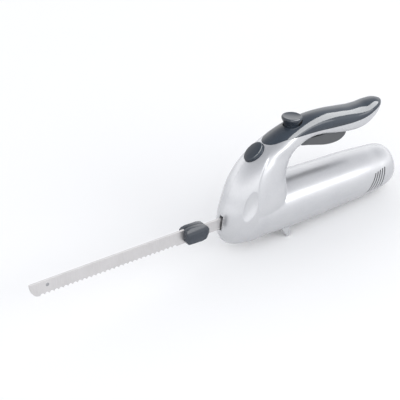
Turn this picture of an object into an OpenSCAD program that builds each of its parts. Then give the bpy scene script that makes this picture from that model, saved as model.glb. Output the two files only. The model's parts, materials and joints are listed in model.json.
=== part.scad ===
// Electric carving knife: a motor barrel with an open-ended handle over it and two
// serrated blades that slide against each other. Millimetres.
// The design frame has +X from the blade tips to the rear, +Z up, its origin where
// the blades leave the nose. stand() puts the knife down on its feet and belly.

/* [Housing] */
// Wall thickness of the plastic shells
wall = 2.4; // [2:0.1:3]
// Greatest radius of the motor barrel
barrel_r = 30.6; // [29.5:0.1:31.5]
// Greatest half-width of the column that carries the handle
column_hw = 30; // [28.5:0.1:30.5]
// Half-width of the handle
handle_hw = 15.6; // [14.5:0.1:16.5]
// Sections around each loft
ring_points = 36; // [24:4:48]
// Height of the feet below the barrel axis
foot_drop = 33.6; // [32.5:0.1:35]

/* [Blades] */
// Distance from the nose to the blade tips
blade_reach = 236; // [200:1:250]
// Height of the blade spine above the barrel axis
spine_z = 6.1; // [5:0.1:7]
// Height of a blade with its teeth
blade_h = 16.3; // [14:0.1:18]
// Thickness of one blade
blade_t = 1.15; // [0.9:0.05:1.3]
// Number of teeth on one blade
tooth_count = 30; // [20:1:36]
// Depth of the teeth
tooth_depth = 2.3; // [0.8:0.1:3]
// Distance that a blade must be pulled to leave the nose
tang_in = 36; // [30:1:38]

/* [Drive] */
// Teeth on the worm gear
gear_teeth = 30; // [24:2:32]
// Pitch radius of the worm gear
gear_r = 13.5; // [13:0.1:14]
// Pitch radius of the two-start worm
worm_r = 4.5; // [4:0.1:5]
// Half of the stroke of a blade
throw = 4; // [3:0.5:4]
// Radius of the motor can
motor_r = 18; // [16:0.5:18.5]
// Length of the motor can
motor_len = 56; // [50:1:58]
// Radius of the motor shaft
shaft_r = 1.6; // [1.5:0.1:2]

/* [Controls] */
// Radius of the safety lock button
lock_r = 11.2; // [10:0.1:12]
// Half-length of the oval blade release button
release_a = 12.5; // [11:0.1:13]
// Half-width of the oval blade release button
release_b = 8.8; // [8:0.1:9.5]
// Travel of both buttons
button_travel = 3; // [2:0.5:3]
// Half-width of the trigger
trigger_hw = 7; // [6:0.1:7.4]

/* [Hidden] */
$fn = 48;

// colours
silver = [0.78, 0.78, 0.79];
slate = [0.2, 0.22, 0.25];
trigger_grey = [0.4, 0.4, 0.42];
steel = [0.82, 0.82, 0.81];
dark_steel = [0.45, 0.46, 0.48];
black = [0.08, 0.08, 0.09];
guard_grey = [0.36, 0.38, 0.42];
nylon = [0.9, 0.89, 0.84];
copper = [0.72, 0.42, 0.25];
brass = [0.78, 0.65, 0.36];
board_green = [0.2, 0.36, 0.24];

// Sections of the column and the handle: front or top edge x and z, rear or under edge
// x and z, half-width as a share of the column's or handle's, and the roundness of the
// front and rear halves (2 is an ellipse, more is squarer).
column_sections = [
    [13, -29.2, 52, -29, 0.2 * column_hw, 2, 2.4],
    [5.5, -27.4, 58, -27, 0.46 * column_hw, 2, 2.4],
    [0, -23, 62, -22.5, 0.66 * column_hw, 2, 2.4],
    [-2.6, -15, 66, -15, 0.83 * column_hw, 2, 2.4],
    [-3, -6, 71, -6, 0.93 * column_hw, 1.95, 3],
    [-0.4, 8, 73.5, 8, column_hw, 1.85, 4],
    [4.2, 20, 73.5, 22, 0.97 * column_hw, 1.9, 3.6],
    [9, 32, 73.6, 36, 0.9 * column_hw, 2, 3],
    [15.5, 44, 75.8, 47, 0.83 * column_hw, 2, 2.9],
    [25, 55.5, 79.5, 56, 0.76 * column_hw, 2, 3],
    [38, 66, 85.5, 62.3, 0.69 * column_hw, 2, 3.1],
    [54, 75.5, 93, 66.7, 0.63 * column_hw, 2, 3.3],
    [73, 84, 102, 69.5, 1.1 * handle_hw, 2, 3.5],
    [92, 89.4, 112, 70.2, 1.04 * handle_hw, 2, 3.5],
    [112, 91.8, 124, 68.6, handle_hw, 2, 3.5],
    [132, 91.4, 138, 65, handle_hw, 2, 3.5],
    [152, 88.8, 154, 61.7, handle_hw, 2, 3.5],
    [168, 86.2, 170, 60, handle_hw, 2, 3.3],
    [181, 85.2, 182, 61.4, 0.98 * handle_hw, 2, 3],
    [192.5, 85.8, 192, 65.6, 0.9 * handle_hw, 2, 2.6],
    [202, 85.4, 200.5, 71.2, 0.7 * handle_hw, 2, 2.2],
    [208, 83.4, 206.6, 76.6, 0.36 * handle_hw, 2, 2],
    [210, 81.6, 209.4, 79.6, 0.1 * handle_hw, 2, 2]];

// Barrel stations: x, radius and height of the centre
nose_len = 31;
nose_end = 34;
nose_r = 29.2;
function nose_radius(x) = nose_r * sqrt(1 - pow((nose_end - x) / nose_len, 2));
nose_stations = [for (x = [3.2, 5, 9, 15, 24]) [x, nose_radius(x), 0]];
barrel_stations = concat(nose_stations, [
    [34, nose_r, 0], [70, barrel_r, 0], [92, barrel_r - 0.2, 0], [112, 29.7, 0], [136, 28.7, 0],
    [162, 28, 0], [183, 26.8, 0], [196, 25.5, 0], [204, 24.6, 0.4], [211, 23.2, 0.9], [216, 21.3, 1.2],
    [219.6, 18.2, 1.4], [222, 13, 1.5], [222.8, 5, 1.5]]);
rear_z = 1.5;
// Half-width of the slot that the blades leave through
slot_hw = 2.9;
hollow_z = -26.8;
hollow_x = 206;

// Lower edge of the dark handle cover, x and z, from its front end to the tail
cover_edge = [[48, 74.2], [60, 76], [72, 78.6], [86, 79], [106, 78], [134, 75.2], [161, 73.2],
    [180, 74.2], [193, 77.6], [203, 80], [216, 81.4]];

// Feet and resting attitude
foot_x = 73;
foot_y = 19;
foot_len = 3.4;
foot_hw = 1.6;
rest_slope = min([for (s = smooth(barrel_stations, 4)) if (s[0] > 110)
    (s[2] - s[1] + foot_drop) / (s[0] - foot_x)]);
rest_tilt = atan(rest_slope);
// Distance along X from the nose to the middle of the whole knife, and its height
x_middle = -5.95;
z_floor = foot_x * sin(rest_tilt) + foot_drop * cos(rest_tilt);

// Drive layout
gear_x = 60;
gear_z = 12;
gear_w = 7;
shaft_z = gear_z - gear_r - worm_r;
worm_len = 22;
worm_lead = 2 * PI * gear_r / gear_teeth * 2;
gear_helix = atan(worm_lead / (2 * PI * worm_r));
worm_x0 = gear_x - worm_len / 2;
// Teeth are drawn a little thin, so that they run free in the worm
tooth_step = 360 / gear_teeth;
gear_profile = [for (k = [0:gear_teeth - 1]) let (a = 90 + tooth_step * k)
    for (q = [[-3.7, -1.15], [-1.5, 0.75], [1.5, 0.75], [3.7, -1.15]])
        (gear_r + q[1]) * [cos(a + q[0]), sin(a + q[0])]];
cam_r = 8;
cam_t = 1.8;
yoke_in = gear_w / 2 + cam_t + 0.4;
yoke_t = 3.8;
yoke_x = 11;
yoke_z = 14.5;
corner_cut = 3;
window_x = cam_r + 0.2;
window_z = cam_r + throw + 0.1;
plate_in = 10.5;
plate_t = 2;
frame_x0 = 44;
frame_x1 = 94;
frame_z0 = -16;
frame_z1 = 22;
bush_r = 4;
axle_r = 2.45;
axle_fit = 0.05;
motor_x0 = frame_x1;
can_t = 1.4;
cap_len = 5;
bearing_r = 5;
fan_r = 15.5;
motor_x1 = motor_x0 + motor_len;

// Blade and carrier layout
blade_gap = 0.1;
tang_z0 = -8.2;
tang_z1 = 4;
guard_x0 = -50;
bar_in = blade_gap + blade_t + 0.1;
bar_out = 5.2;
bar_z = 5;
bar_x0 = 8;
bar_x1 = 38;
rivet_x = 20.5 - blade_reach;
rivet_z = 0.8;
rivet_r = 1.5;
slot_len = 4 * throw + 2 * rivet_r;
edge_z = spine_z - blade_h;
tip_r = 12;
tooth_x0 = tip_r - blade_reach;
tooth_x1 = -58;
tooth_pitch = (tooth_x1 - tooth_x0) / tooth_count;
// One scallop runs from a point up to the root and down to the next point
scallop = [[0, 0], [0.1, 0.45], [0.24, 0.85], [0.38, 1], [0.54, 0.9], [0.8, 0.45]];
teeth = [for (k = [tooth_count - 1:-1:0], j = [len(scallop) - 1:-1:0])
    [tooth_x0 + tooth_pitch * (k + scallop[j][0]), edge_z + tooth_depth * scallop[j][1]]];
tip_curve = [for (a = [0:10:80])
    [tooth_x0 - tip_r * cos(a), spine_z - blade_h * sin(a)]];
// Outline and cross outline of the thumb grip half moulded on each blade
guard_side = [[-50, -6], [-47.5, -9.8], [-30, -10.8], [-24, -9], [-20.8, -4], [-20.8, 0.6],
    [-23.6, 5], [-30, 7.2], [-44, 7.7], [-48.5, 6.4], [-50, 3.4]];
guard_cross = [[0.3, 12], [3, 12], [6.7, 4.6], [8.2, 1.4], [8.2, -5], [6.6, -12], [0.3, -12]];

// Controls
lock_at = [90.6, 96.2];
lock_lean = 4;
lock_drum = 13;
lock_stem = 19.5;
release_at = [41.4, 68.1];
release_lean = 36;
release_proud = 4.4;
release_skirt = 8;
pivot_at = [103, 74.5];
pin_r = 2;
pin_fit = 0.05;
plunger_x = 116;
// Face of the trigger under the fingers, x and z
trigger_curve = [[99, 61.4], [108, 59.2], [119, 56], [130, 53], [141, 51.7], [150, 52.6],
    [156, 55.6], [158.6, 59]];
switch_z = 73;
plunger_z = 66.6;
screw_at = [[30, -19], [64, 44], [130, 20.5], [194, 0], [176, 69.5]];
screw_head_y = 8;
bush_x0 = 212;
bush_x1 = 223.3;
cord_r = 3.5;
grommet_r = 6;

// ---- functions and general shapes

function spline(a, b, c, d, t) = 0.5 * (2 * b + (c - a) * t + (2 * a - 5 * b + 4 * c - d) * t * t
    + (3 * b - a - 3 * c + d) * t * t * t);
function at(p, i) = p[min(max(i, 0), len(p) - 1)];
function smooth(p, n) = [for (i = [0:len(p) - 2], k = [0:n - 1])
    spline(at(p, i - 1), p[i], p[i + 1], at(p, i + 2), k / n), p[len(p) - 1]];
function power(v, n) = sign(v) * pow(abs(v), 2 / n);
function circle_at(s, grow) = [for (k = [0:ring_points - 1]) let (a = 360 * k / ring_points)
    [s[0], (s[1] + grow) * cos(a), s[2] + (s[1] + grow) * sin(a)]];
function section_at(s, grow) = let (
    top = [s[0], s[1]], under = [s[2], s[3]],
    half = norm(top - under) / 2, dir = (top - under) / (2 * half), mid = (top + under) / 2)
    [for (k = [0:ring_points - 1]) let (
        a = 360 * k / ring_points, n = sin(a) > 0 ? s[5] : s[6],
        y = max(s[4] + grow, 0.3) * power(cos(a), n), h = max(half + grow, 0.3) * power(sin(a), n))
        [mid[0] + dir[0] * h, y, mid[1] + dir[1] * h]];

// Skin over a list of rings, each with the same number of points
module loft(rings) {
    n = len(rings[0]);
    last = (len(rings) - 1) * n;
    polyhedron(points = [for (r = rings) each r], faces = [
        for (i = [0:len(rings) - 2], j = [0:n - 1])
            [i * n + j, (i + 1) * n + j, (i + 1) * n + (j + 1) % n, i * n + (j + 1) % n],
        [for (j = [0:n - 1]) j],
        [for (j = [n - 1:-1:0]) last + j]]);
}

// The knife lies on its two feet and the rear of its belly, blades forward
module stand() {
    translate([-x_middle, 0, z_floor]) rotate([0, rest_tilt, 0]) children();
}

// Children drawn along Z are turned to lie along X, with their bottom at x
module along_x(x, z) {
    translate([x, 0, z]) rotate([0, 90, 0]) children();
}

// Children drawn along Z are turned to lie along Y, centred on y = 0
module along_y(x, z) {
    translate([x, 0, z]) rotate([90, 0, 0]) children();
}

module tube(r_out, r_in, h) {
    difference() {
        cylinder(r = r_out, h = h);
        translate([0, 0, -1]) cylinder(r = r_in, h = h + 2);
    }
}

// A block on one side of the knife: side is -1 for left and 1 for right
module side_block(side, x0, x1, y0, y1, z0, z1) {
    translate([x0, side > 0 ? y0 : -y1, z0]) cube([x1 - x0, y1 - y0, z1 - z0]);
}

// A coil spring along Z
module coil(r, wire, h, turns) {
    steps = 12 * turns;
    loft([for (k = [0:steps]) let (a = 30 * k, rise = wire + (h - 2 * wire) * k / steps)
        [for (j = [0:4]) let (b = 72 * j)
            [(r + wire * cos(b)) * cos(a), (r + wire * cos(b)) * sin(a), rise + wire * sin(b)]]]);
}

// ---- housing

module barrel_body(grow) {
    stations = smooth(barrel_stations, 2);
    trimmed = [for (s = stations) if (s[1] + grow > 1.5) s];
    n = len(trimmed) - 1;
    loft([for (i = [0:n]) let (s = trimmed[i], shift = i == 0 ? -grow : i == n ? grow : 0)
        circle_at([s[0] + shift, s[1], s[2]], grow)]);
}

// The hollow inside stops short of the column's foot and of the tip of the tail
module column_body(grow) {
    loft([for (s = smooth(column_sections, 2))
        if (grow > -1 || (s[1] > hollow_z && s[0] < hollow_x)) section_at(s, grow)]);
}

module outer_body(grow) {
    barrel_body(grow);
    column_body(grow);
}

module cover_zone() {
    edge = smooth(cover_edge, 3);
    rotate([90, 0, 0]) linear_extrude(80, center = true)
        polygon(concat(edge, [[216, 110], [48, 110]]));
}

module finger_dish(grow) {
    for (side = [-1, 1])
        translate([15.8, side * 29.8, 21.5]) rotate([0, 24, 0]) rotate([0, 0, side * 25])
            scale([11.2 + grow, 10 + grow, 29 + grow]) sphere(r = 1, $fn = 36);
}

module foot(side) {
    hull() {
        translate([foot_x, side * foot_y, -foot_drop]) rotate([0, -rest_tilt, 0])
            translate([-foot_len / 2, -foot_hw, 0]) cube([foot_len, 2 * foot_hw, 0.5]);
        translate([foot_x - 11, side * foot_y - foot_hw - 0.6, -20])
            cube([13, 2 * foot_hw + 1.2, 1]);
    }
}

module slab(x, t) {
    intersection() {
        outer_body(-wall / 2);
        translate([x, -50, -50]) cube([t, 100, 100]);
    }
}

module inner_ribs() {
    difference() {
        union() {
            slab(126, 2);
            slab(145, 2);
        }
        along_x(100, shaft_z) cylinder(r = motor_r + 0.3, h = 80);
        translate([120, -60, 27]) cube([40, 120, 60]);
    }
    difference() {
        slab(80, 2);
        translate([79, -plate_in - plate_t, frame_z0]) cube([4, 2 * (plate_in + plate_t), 70]);
        translate([79, -60, 25]) cube([4, 120, 60]);
    }
    intersection() {
        outer_body(-wall / 2);
        union() {
            translate([83, -30, 71]) cube([14, 60, 1.8]);
            translate([127, -30, 72]) cube([10, 60, 1.5]);
            release_frame() translate([0, -30, -release_skirt - 11]) cube([10, 60, 2]);
        }
    }
}

module screw_bosses() {
    intersection() {
        outer_body(-wall / 2);
        for (p = screw_at) along_y(p[0], p[1]) cylinder(r = 3.5, h = 100, center = true, $fn = 20);
    }
    intersection() {
        outer_body(-wall / 2);
        difference() {
            along_y(pivot_at[0], pivot_at[1]) cylinder(r = 3.6, h = 100, center = true, $fn = 20);
            translate([0, -trigger_hw - 0.6, 0]) cube([200, 2 * trigger_hw + 1.2, 120]);
        }
    }
}

module screw_holes() {
    for (p = screw_at) along_y(p[0], p[1]) {
        cylinder(r = 1.7, h = 17, center = true, $fn = 20);
        translate([0, 0, -50]) cylinder(r = 3.3, h = 50 - screw_head_y, $fn = 20);
    }
    along_y(pivot_at[0], pivot_at[1])
        cylinder(r = pin_r + 0.06, h = 2 * (trigger_hw + 4), center = true, $fn = 32);
}

module vents() {
    for (side = [-1, 1], k = [0:4])
        translate([182.5 + 4.1 * k, side * 24, -2.5 + 0.4 * k]) rotate([0, 27 - 3.2 * k, 0])
            cube([1.5, 20, 23], center = true);
}

// Origin on the button's seat, +X up its slope, +Z out of the shell
module release_frame() {
    translate([release_at[0], 0, release_at[1]]) rotate([0, -release_lean, 0]) children();
}

module openings() {
    cover_zone();
    finger_dish(0);
    vents();
    screw_holes();
    translate([97, -trigger_hw - 0.5, 40]) cube([29, 2 * trigger_hw + 1, 35]);
    translate([125, -trigger_hw - 0.5, 40]) cube([36.5, 2 * trigger_hw + 1, 30.9]);
    translate([-10, -slot_hw, -9.6]) cube([13.6, 2 * slot_hw, 15.9]);
    release_frame() translate([0, 0, -12]) linear_extrude(30)
        polygon(oval(release_a + 0.4, release_b + 0.4, 32));
    along_x(bush_x0, rear_z) cylinder(r = grommet_r + 0.05, h = 20, $fn = 32);
}

module shell(side) {
    resize([0, 0, 0]) intersection() {
        translate([-20, side > 0 ? 0 : -60, -60]) cube([260, 60, 170]);
        difference() {
            union() {
                difference() {
                    union() {
                        outer_body(0);
                        foot(side);
                    }
                    difference() {
                        outer_body(-wall);
                        finger_dish(2);
                    }
                }
                inner_ribs();
                screw_bosses();
            }
            openings();
        }
    }
}

module left_shell() {
    color(silver) stand() shell(-1);
}

module right_shell() {
    color(silver) stand() shell(1);
}

module handle_cover() {
    color(slate) stand() resize([0, 0, 0]) difference() {
        intersection() {
            column_body(0);
            cover_zone();
        }
        column_body(-wall);
        lock_frame() rotate_extrude($fn = 40) polygon([[0, -30], [9.4, -30], [9.4, -10.5], [9.7, -9.4],
            [10.7, -7.6], [11.6, -5.6], [11.9, -4], [11.9, 10], [0, 10]]);
    }
}

module nose_guide() {
    color(black) stand() difference() {
        translate([0.4, 0.1 - slot_hw, -9.5]) cube([3.1, 2 * slot_hw - 0.2, 15.7]);
        translate([-3, -1.9, -9]) cube([8, 3.8, 13.8]);
    }
}

// ---- controls

// Origin in the middle of the button's flat top, +Z out of it
module lock_frame() {
    translate([lock_at[0], 0, lock_at[1]]) rotate([0, lock_lean, 0]) children();
}

module lock_button() {
    color(slate) stand() lock_frame() rotate_extrude()
        polygon([[0, 0], [lock_r - 1.6, 0], [lock_r - 0.5, -0.5], [lock_r, -1.6], [lock_r - 0.2, -2.8],
            [lock_r - 1, -4.6], [lock_r - 1.9, -6.6], [lock_r - 2.6, -8.2], [lock_r - 2.6, -lock_drum],
            [3.5, -lock_drum], [3.5, -lock_stem], [0, -lock_stem]]);
}

module lock_spring() {
    color(steel) stand() lock_frame() translate([0, 0, -22.9]) coil(5.4, 0.4, 9.8, 4);
}

function oval(a, b, n) = [for (k = [0:n - 1]) [a * cos(360 * k / n), b * sin(360 * k / n)]];
function oval_ring(a, b, z) = [for (p = oval(a, b, 40)) [p[0], p[1], z]];

module release_button() {
    h = release_proud;
    color(slate) stand() release_frame() loft([
        oval_ring(release_a, release_b, -release_skirt),
        oval_ring(release_a, release_b, h - 2.2),
        oval_ring(release_a - 0.4, release_b - 0.4, h - 1.2),
        oval_ring(release_a - 1.4, release_b - 1.4, h - 0.45),
        oval_ring(release_a - 4, release_b - 4, h)]);
}

module release_rod() {
    color(black) stand() {
        release_frame() translate([-10, -2.5, -release_skirt - 4]) cube([7, 5, 4]);
        translate([30, -2.5, 9]) cube([4, 5, 44]);
        along_y(0, 0) linear_extrude(5, center = true)
            polygon([[30, 50], [34, 46], [45.4, 54.6], [42.4, 58.6]]);
    }
}

module release_spring() {
    color(steel) stand() release_frame() translate([4.5, 0, -release_skirt - 9]) coil(3.4, 0.4, 9, 4);
}

module trigger() {
    color(trigger_grey) stand() along_y(0, 0) difference() {
        linear_extrude(2 * trigger_hw, center = true)
            polygon(concat([[106.8, 70], [106.8, 78], [99.2, 78], [98, 64]], smooth(trigger_curve, 3),
                [[158.6, 64], [112, 66.5]]));
        translate([pivot_at[0], pivot_at[1], 0])
            cylinder(r = pin_r + pin_fit, h = 30, center = true);
    }
}

module trigger_pin() {
    color(steel) stand() along_y(pivot_at[0], pivot_at[1])
        cylinder(r = pin_r, h = 2 * trigger_hw + 7, center = true);
}

module trigger_spring() {
    color(steel) stand() translate([132, 0, 65.8]) coil(3.2, 0.4, 6.2, 3);
}

module microswitch() {
    color(black) stand() difference() {
        union() {
            translate([108, -5, switch_z]) cube([16, 10, 8]);
            for (k = [0:2]) translate([110 + 5 * k, -3, switch_z + 8]) cube([1, 6, 3]);
        }
        translate([plunger_x, 0, switch_z - 1]) cylinder(r = 1.3, h = 5.5);
        for (x = [110.5, 121.5])
            along_y(x, switch_z + 6) cylinder(r = 0.9, h = 12, center = true);
    }
}

module switch_plunger() {
    color("firebrick") stand() translate([plunger_x, 0, plunger_z])
        cylinder(r = 1.2, h = switch_z + 2 - plunger_z);
}

// ---- gearbox

module gearbox_frame() {
    depth = plate_in + plate_t;
    color(dark_steel) stand() difference() {
        union() {
            for (side = [-1, 1])
                side_block(side, frame_x0, frame_x1, plate_in, depth, frame_z0, frame_z1);
            translate([frame_x1 - 2, -plate_in, frame_z0]) cube([2, 2 * plate_in, frame_z1 - frame_z0]);
            translate([frame_x0, -plate_in, -12]) cube([3, 2 * plate_in, 8.6]);
        }
        along_y(gear_x, gear_z) cylinder(r = bush_r, h = 60, center = true);
        along_x(frame_x0 - 5, shaft_z) cylinder(r = shaft_r + 0.05, h = 20);
        along_x(frame_x1 - 10, shaft_z) cylinder(r = bearing_r + 0.5, h = 20);
        for (side = [-1, 1]) translate([84, 0, side * 12 + 3])
            rotate([90, 0, 0]) cylinder(r = 1.6, h = 60, center = true);
    }
}

module axle_bushes() {
    color(brass) stand() for (turn = [90, -90])
        translate([gear_x, 0, gear_z]) rotate([turn, 0, 0]) translate([0, 0, plate_in]) {
            tube(bush_r, axle_r + axle_fit, plate_t);
            translate([0, 0, plate_t]) tube(bush_r + 1.6, axle_r + axle_fit, 0.8);
        }
}

module gear_axle() {
    color(steel) stand() along_y(gear_x, gear_z)
        cylinder(r = axle_r, h = 2 * (plate_in + plate_t + 0.6), center = true);
}

module worm_gear() {
    turn = gear_w * tan(gear_helix) / gear_r * 180 / PI;
    color(nylon) stand() resize([0, 0, 0]) along_y(gear_x, gear_z) difference() {
        linear_extrude(gear_w, center = true, twist = turn, slices = 3) polygon(gear_profile);
        cylinder(r = axle_r + 0.05, h = 20, center = true);
    }
}

module eccentric(side) {
    along_y(gear_x, gear_z) difference() {
        translate([0, -side * throw, -side * gear_w / 2 - (side > 0 ? cam_t : 0)])
            cylinder(r = cam_r, h = cam_t);
        cylinder(r = axle_r + 0.05, h = 60, center = true);
    }
}

module left_eccentric() {
    color(steel) stand() eccentric(-1);
}

module right_eccentric() {
    color(steel) stand() eccentric(1);
}

module carrier(side) {
    difference() {
        union() {
            side_block(side, gear_x - yoke_x, gear_x + yoke_x, yoke_in, yoke_in + yoke_t,
                gear_z - yoke_z, gear_z + yoke_z);
            side_block(side, 26, gear_x - yoke_x + 1, yoke_in, yoke_in + yoke_t, 0.5, 9.5);
            side_block(side, 26, bar_x1, bar_out, yoke_in + 1, 0.5, bar_z);
            side_block(side, bar_x0, bar_x1, bar_in, bar_out, -bar_z, bar_z);
        }
        side_block(side, gear_x - window_x, gear_x + window_x, yoke_in - 1, yoke_in + yoke_t + 1,
            gear_z - window_z, gear_z + window_z);
        // the upper outer corner is taken off to clear the barrel's ceiling
        translate([gear_x, side * (yoke_in + yoke_t), gear_z + yoke_z]) rotate([45, 0, 0])
            cube([3 * yoke_x, corner_cut, corner_cut], center = true);
    }
}

module left_carrier() {
    color(nylon) stand() carrier(-1);
}

module right_carrier() {
    color(nylon) stand() carrier(1);
}

// A sprung leaf on a carrier; its nose stands just clear of the tang
module latch(side) {
    side_block(side, 18, 37, bar_in, bar_out - 0.6, bar_z, bar_z + 0.9);
    side_block(side, 24, 28, 0.25, bar_in - 0.05, tang_z1 + 0.3, bar_z + 0.9);
    side_block(side, 24, 28, 0.25, bar_in + 0.1, bar_z, bar_z + 0.9);
}

module left_latch() {
    color(steel) stand() latch(-1);
}

module right_latch() {
    color(steel) stand() latch(1);
}

// ---- blades

module blade(side) {
    translate([0, side * (blade_gap + blade_t / 2), 0]) along_y(0, 0) difference() {
        linear_extrude(blade_t, center = true)
            polygon(concat([[guard_x0 + 8, spine_z], [guard_x0 + 8, tang_z1],
                [tang_in - 3, tang_z1], [tang_in, tang_z1 - 3], [tang_in, tang_z0 + 3],
                [tang_in - 3, tang_z0], [guard_x0 + 8, tang_z0], [guard_x0 + 8, edge_z], [tooth_x1, edge_z]],
                teeth, [for (k = [len(tip_curve) - 1:-1:0]) tip_curve[k]]));
        if (side < 0)
            translate([rivet_x, rivet_z, 0]) cylinder(r = rivet_r, h = 9, center = true);
        else
            translate([rivet_x, rivet_z, 0]) for (x = [-slot_len / 2 + rivet_r, slot_len / 2 - rivet_r])
                translate([x, 0, 0]) cylinder(r = rivet_r + 0.1, h = 9, center = true);
        if (side > 0)
            translate([rivet_x, rivet_z, 0])
                cube([slot_len - 2 * rivet_r, 2 * rivet_r + 0.2, 9], center = true);
    }
}

module left_blade() {
    color(steel) stand() blade(-1);
}

module right_blade() {
    color(steel) stand() blade(1);
}

module tip_rivet() {
    inner = blade_gap + blade_t;
    color(steel) stand() translate([rivet_x, 0, rivet_z]) rotate([90, 0, 0]) {
        translate([0, 0, -inner - 0.1]) cylinder(r = rivet_r, h = 2 * inner + 0.1);
        translate([0, 0, inner]) cylinder(r = rivet_r + 0.5, h = 0.35);
        translate([0, 0, -inner - 0.5]) cylinder(r = rivet_r + 0.5, h = 0.4);
    }
}

module guard(side) {
    difference() {
        intersection() {
            along_y(0, 0) linear_extrude(40, center = true) polygon(guard_side);
            translate([-60, 0, 0]) rotate([90, 0, 90]) linear_extrude(50)
                polygon([for (p = guard_cross) [side * p[0], p[1]]]);
            translate([-36, 0, 0]) resize([0, 0, 0]) scale([15.2, 8.4, 16]) sphere(r = 1.25, $fn = 32);
        }
        side_block(side, -60, guard_x0 + 8.2, 0, blade_gap + blade_t, edge_z - 0.1, spine_z + 0.1);
        side_block(side, -60, 0, 0, blade_gap + blade_t, tang_z0 - 0.1, tang_z1 + 0.1);
    }
}

module left_guard() {
    color(guard_grey) stand() guard(-1);
}

module right_guard() {
    color(guard_grey) stand() guard(1);
}

// ---- motor

module motor_can() {
    color(dark_steel) stand() along_x(motor_x0, shaft_z) difference() {
        cylinder(r = motor_r, h = motor_len);
        translate([0, 0, can_t]) cylinder(r = motor_r - can_t, h = motor_len);
        translate([0, 0, -1]) cylinder(r = bearing_r, h = 10);
    }
}

module motor_magnets() {
    color([0.25, 0.25, 0.26]) stand() along_x(motor_x0 + 8, shaft_z) for (turn = [0, 180])
        rotate([0, 0, turn]) difference() {
            tube(motor_r - can_t, motor_r - can_t - 2.6, 38);
            translate([-30, -60, -1]) cube([60, 67, 50]);
        }
}

module motor_end_cap() {
    color(black) stand() along_x(motor_x1, shaft_z) difference() {
        cylinder(r = motor_r, h = cap_len);
        translate([0, 0, -1]) cylinder(r = bearing_r, h = 20);
    }
}

module motor_bearings() {
    color(brass) stand() {
        along_x(motor_x0, shaft_z) tube(bearing_r, shaft_r + 0.05, 4.5);
        along_x(motor_x1, shaft_z) tube(bearing_r, shaft_r + 0.05, cap_len);
    }
}

module motor_brushes() {
    color([0.15, 0.15, 0.15]) stand() for (side = [-1, 1])
        side_block(side, motor_x1 - 8, motor_x1 - 3, 6.3, 15, shaft_z - 2, shaft_z + 2);
}

module motor_shaft() {
    length = motor_x1 + cap_len + 12 - frame_x0;
    color(steel) stand() along_x(frame_x0 - 1, shaft_z) cylinder(r = shaft_r, h = length);
}

module worm() {
    r0 = worm_r - 1;
    r1 = worm_r + 0.7;
    half = [[-78, r0], [-26, r0], [-12, r1], [12, r1], [26, r0], [78, r0]];
    profile = [for (start = [0, 180], q = half) q[1] * [cos(start + q[0]), sin(start + q[0])]];
    color(brass) stand() resize([0, 0, 0]) along_x(worm_x0, shaft_z) difference() {
        linear_extrude(worm_len, twist = 360 * worm_len / worm_lead, slices = 48, $fn = 12)
            polygon(profile);
        translate([0, 0, -1]) cylinder(r = shaft_r + 0.02, h = worm_len + 2, $fn = 32);
    }
}

module armature_core() {
    slots = 12;
    color(dark_steel) stand() along_x(motor_x0 + 10, shaft_z) difference() {
        cylinder(r = 13.2, h = 34);
        translate([0, 0, -1]) cylinder(r = shaft_r, h = 36);
        for (k = [0:slots - 1]) rotate([0, 0, 360 / slots * k])
            translate([8, -1.1, -1]) cube([8, 2.2, 36]);
    }
}

module armature_windings() {
    color(copper) stand() {
        along_x(motor_x0 + 6, shaft_z) tube(10.5, shaft_r, 4);
        along_x(motor_x0 + 44, shaft_z) tube(10.5, shaft_r, 3.5);
    }
}

module commutator() {
    color(copper) stand() along_x(motor_x1 - 8.5, shaft_z) tube(6.2, shaft_r, 7);
}

module cooling_fan() {
    blades = 9;
    color(nylon) stand() along_x(motor_x1 + cap_len + 1.5, shaft_z) {
        tube(5, shaft_r, 8);
        tube(fan_r, 4.9, 1.2);
        for (k = [0:blades - 1]) rotate([0, 0, 360 / blades * k])
            translate([4.8, -0.6, 0.6]) cube([fan_r - 5.2, 1.2, 7]);
    }
}

// ---- electrics, inlet and screws

module rectifier_board() {
    color(board_green) stand() {
        translate([97, -9, 15]) cube([25, 18, 1.4]);
        for (k = [0:3]) translate([100 + 3 * k, -6, 16.4]) cube([2, 5, 2.4]);
        translate([117, 3, 16.4]) cylinder(r = 3.4, h = 5);
    }
}

module cord_inlet_bush() {
    color(black) stand() along_x(bush_x0, rear_z) rotate_extrude()
        polygon([[cord_r, 0], [grommet_r + 1.6, 0], [grommet_r + 1.6, 1.6], [grommet_r, 1.6],
            [grommet_r, bush_x1 - bush_x0 - 1], [grommet_r - 1, bush_x1 - bush_x0],
            [cord_r, bush_x1 - bush_x0]]);
}

module shell_screws() {
    color(steel) stand() for (p = screw_at) along_y(p[0], p[1]) {
        translate([0, 0, -screw_head_y - 2]) difference() {
            cylinder(r = 2.9, h = 2);
            translate([0, 0, -0.1]) for (turn = [0, 90]) rotate([0, 0, turn])
                translate([-1.8, -0.35, 0]) cube([3.6, 0.7, 1.1]);
        }
        translate([0, 0, -screw_head_y]) cylinder(r = 1.5, h = 15.4);
    }
}

left_shell();
right_shell();
handle_cover();
nose_guide();
lock_button();
lock_spring();
release_button();
release_rod();
release_spring();
trigger();
trigger_pin();
trigger_spring();
microswitch();
switch_plunger();
gearbox_frame();
axle_bushes();
gear_axle();
worm_gear();
left_eccentric();
right_eccentric();
left_carrier();
right_carrier();
left_latch();
right_latch();
left_blade();
right_blade();
left_guard();
right_guard();
tip_rivet();
motor_can();
motor_magnets();
motor_end_cap();
motor_bearings();
motor_brushes();
motor_shaft();
worm();
armature_core();
armature_windings();
commutator();
cooling_fan();
rectifier_board();
cord_inlet_bush();
shell_screws();
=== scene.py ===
import bpy
import bmesh
import json
import math
from mathutils import Matrix, Vector


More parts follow.
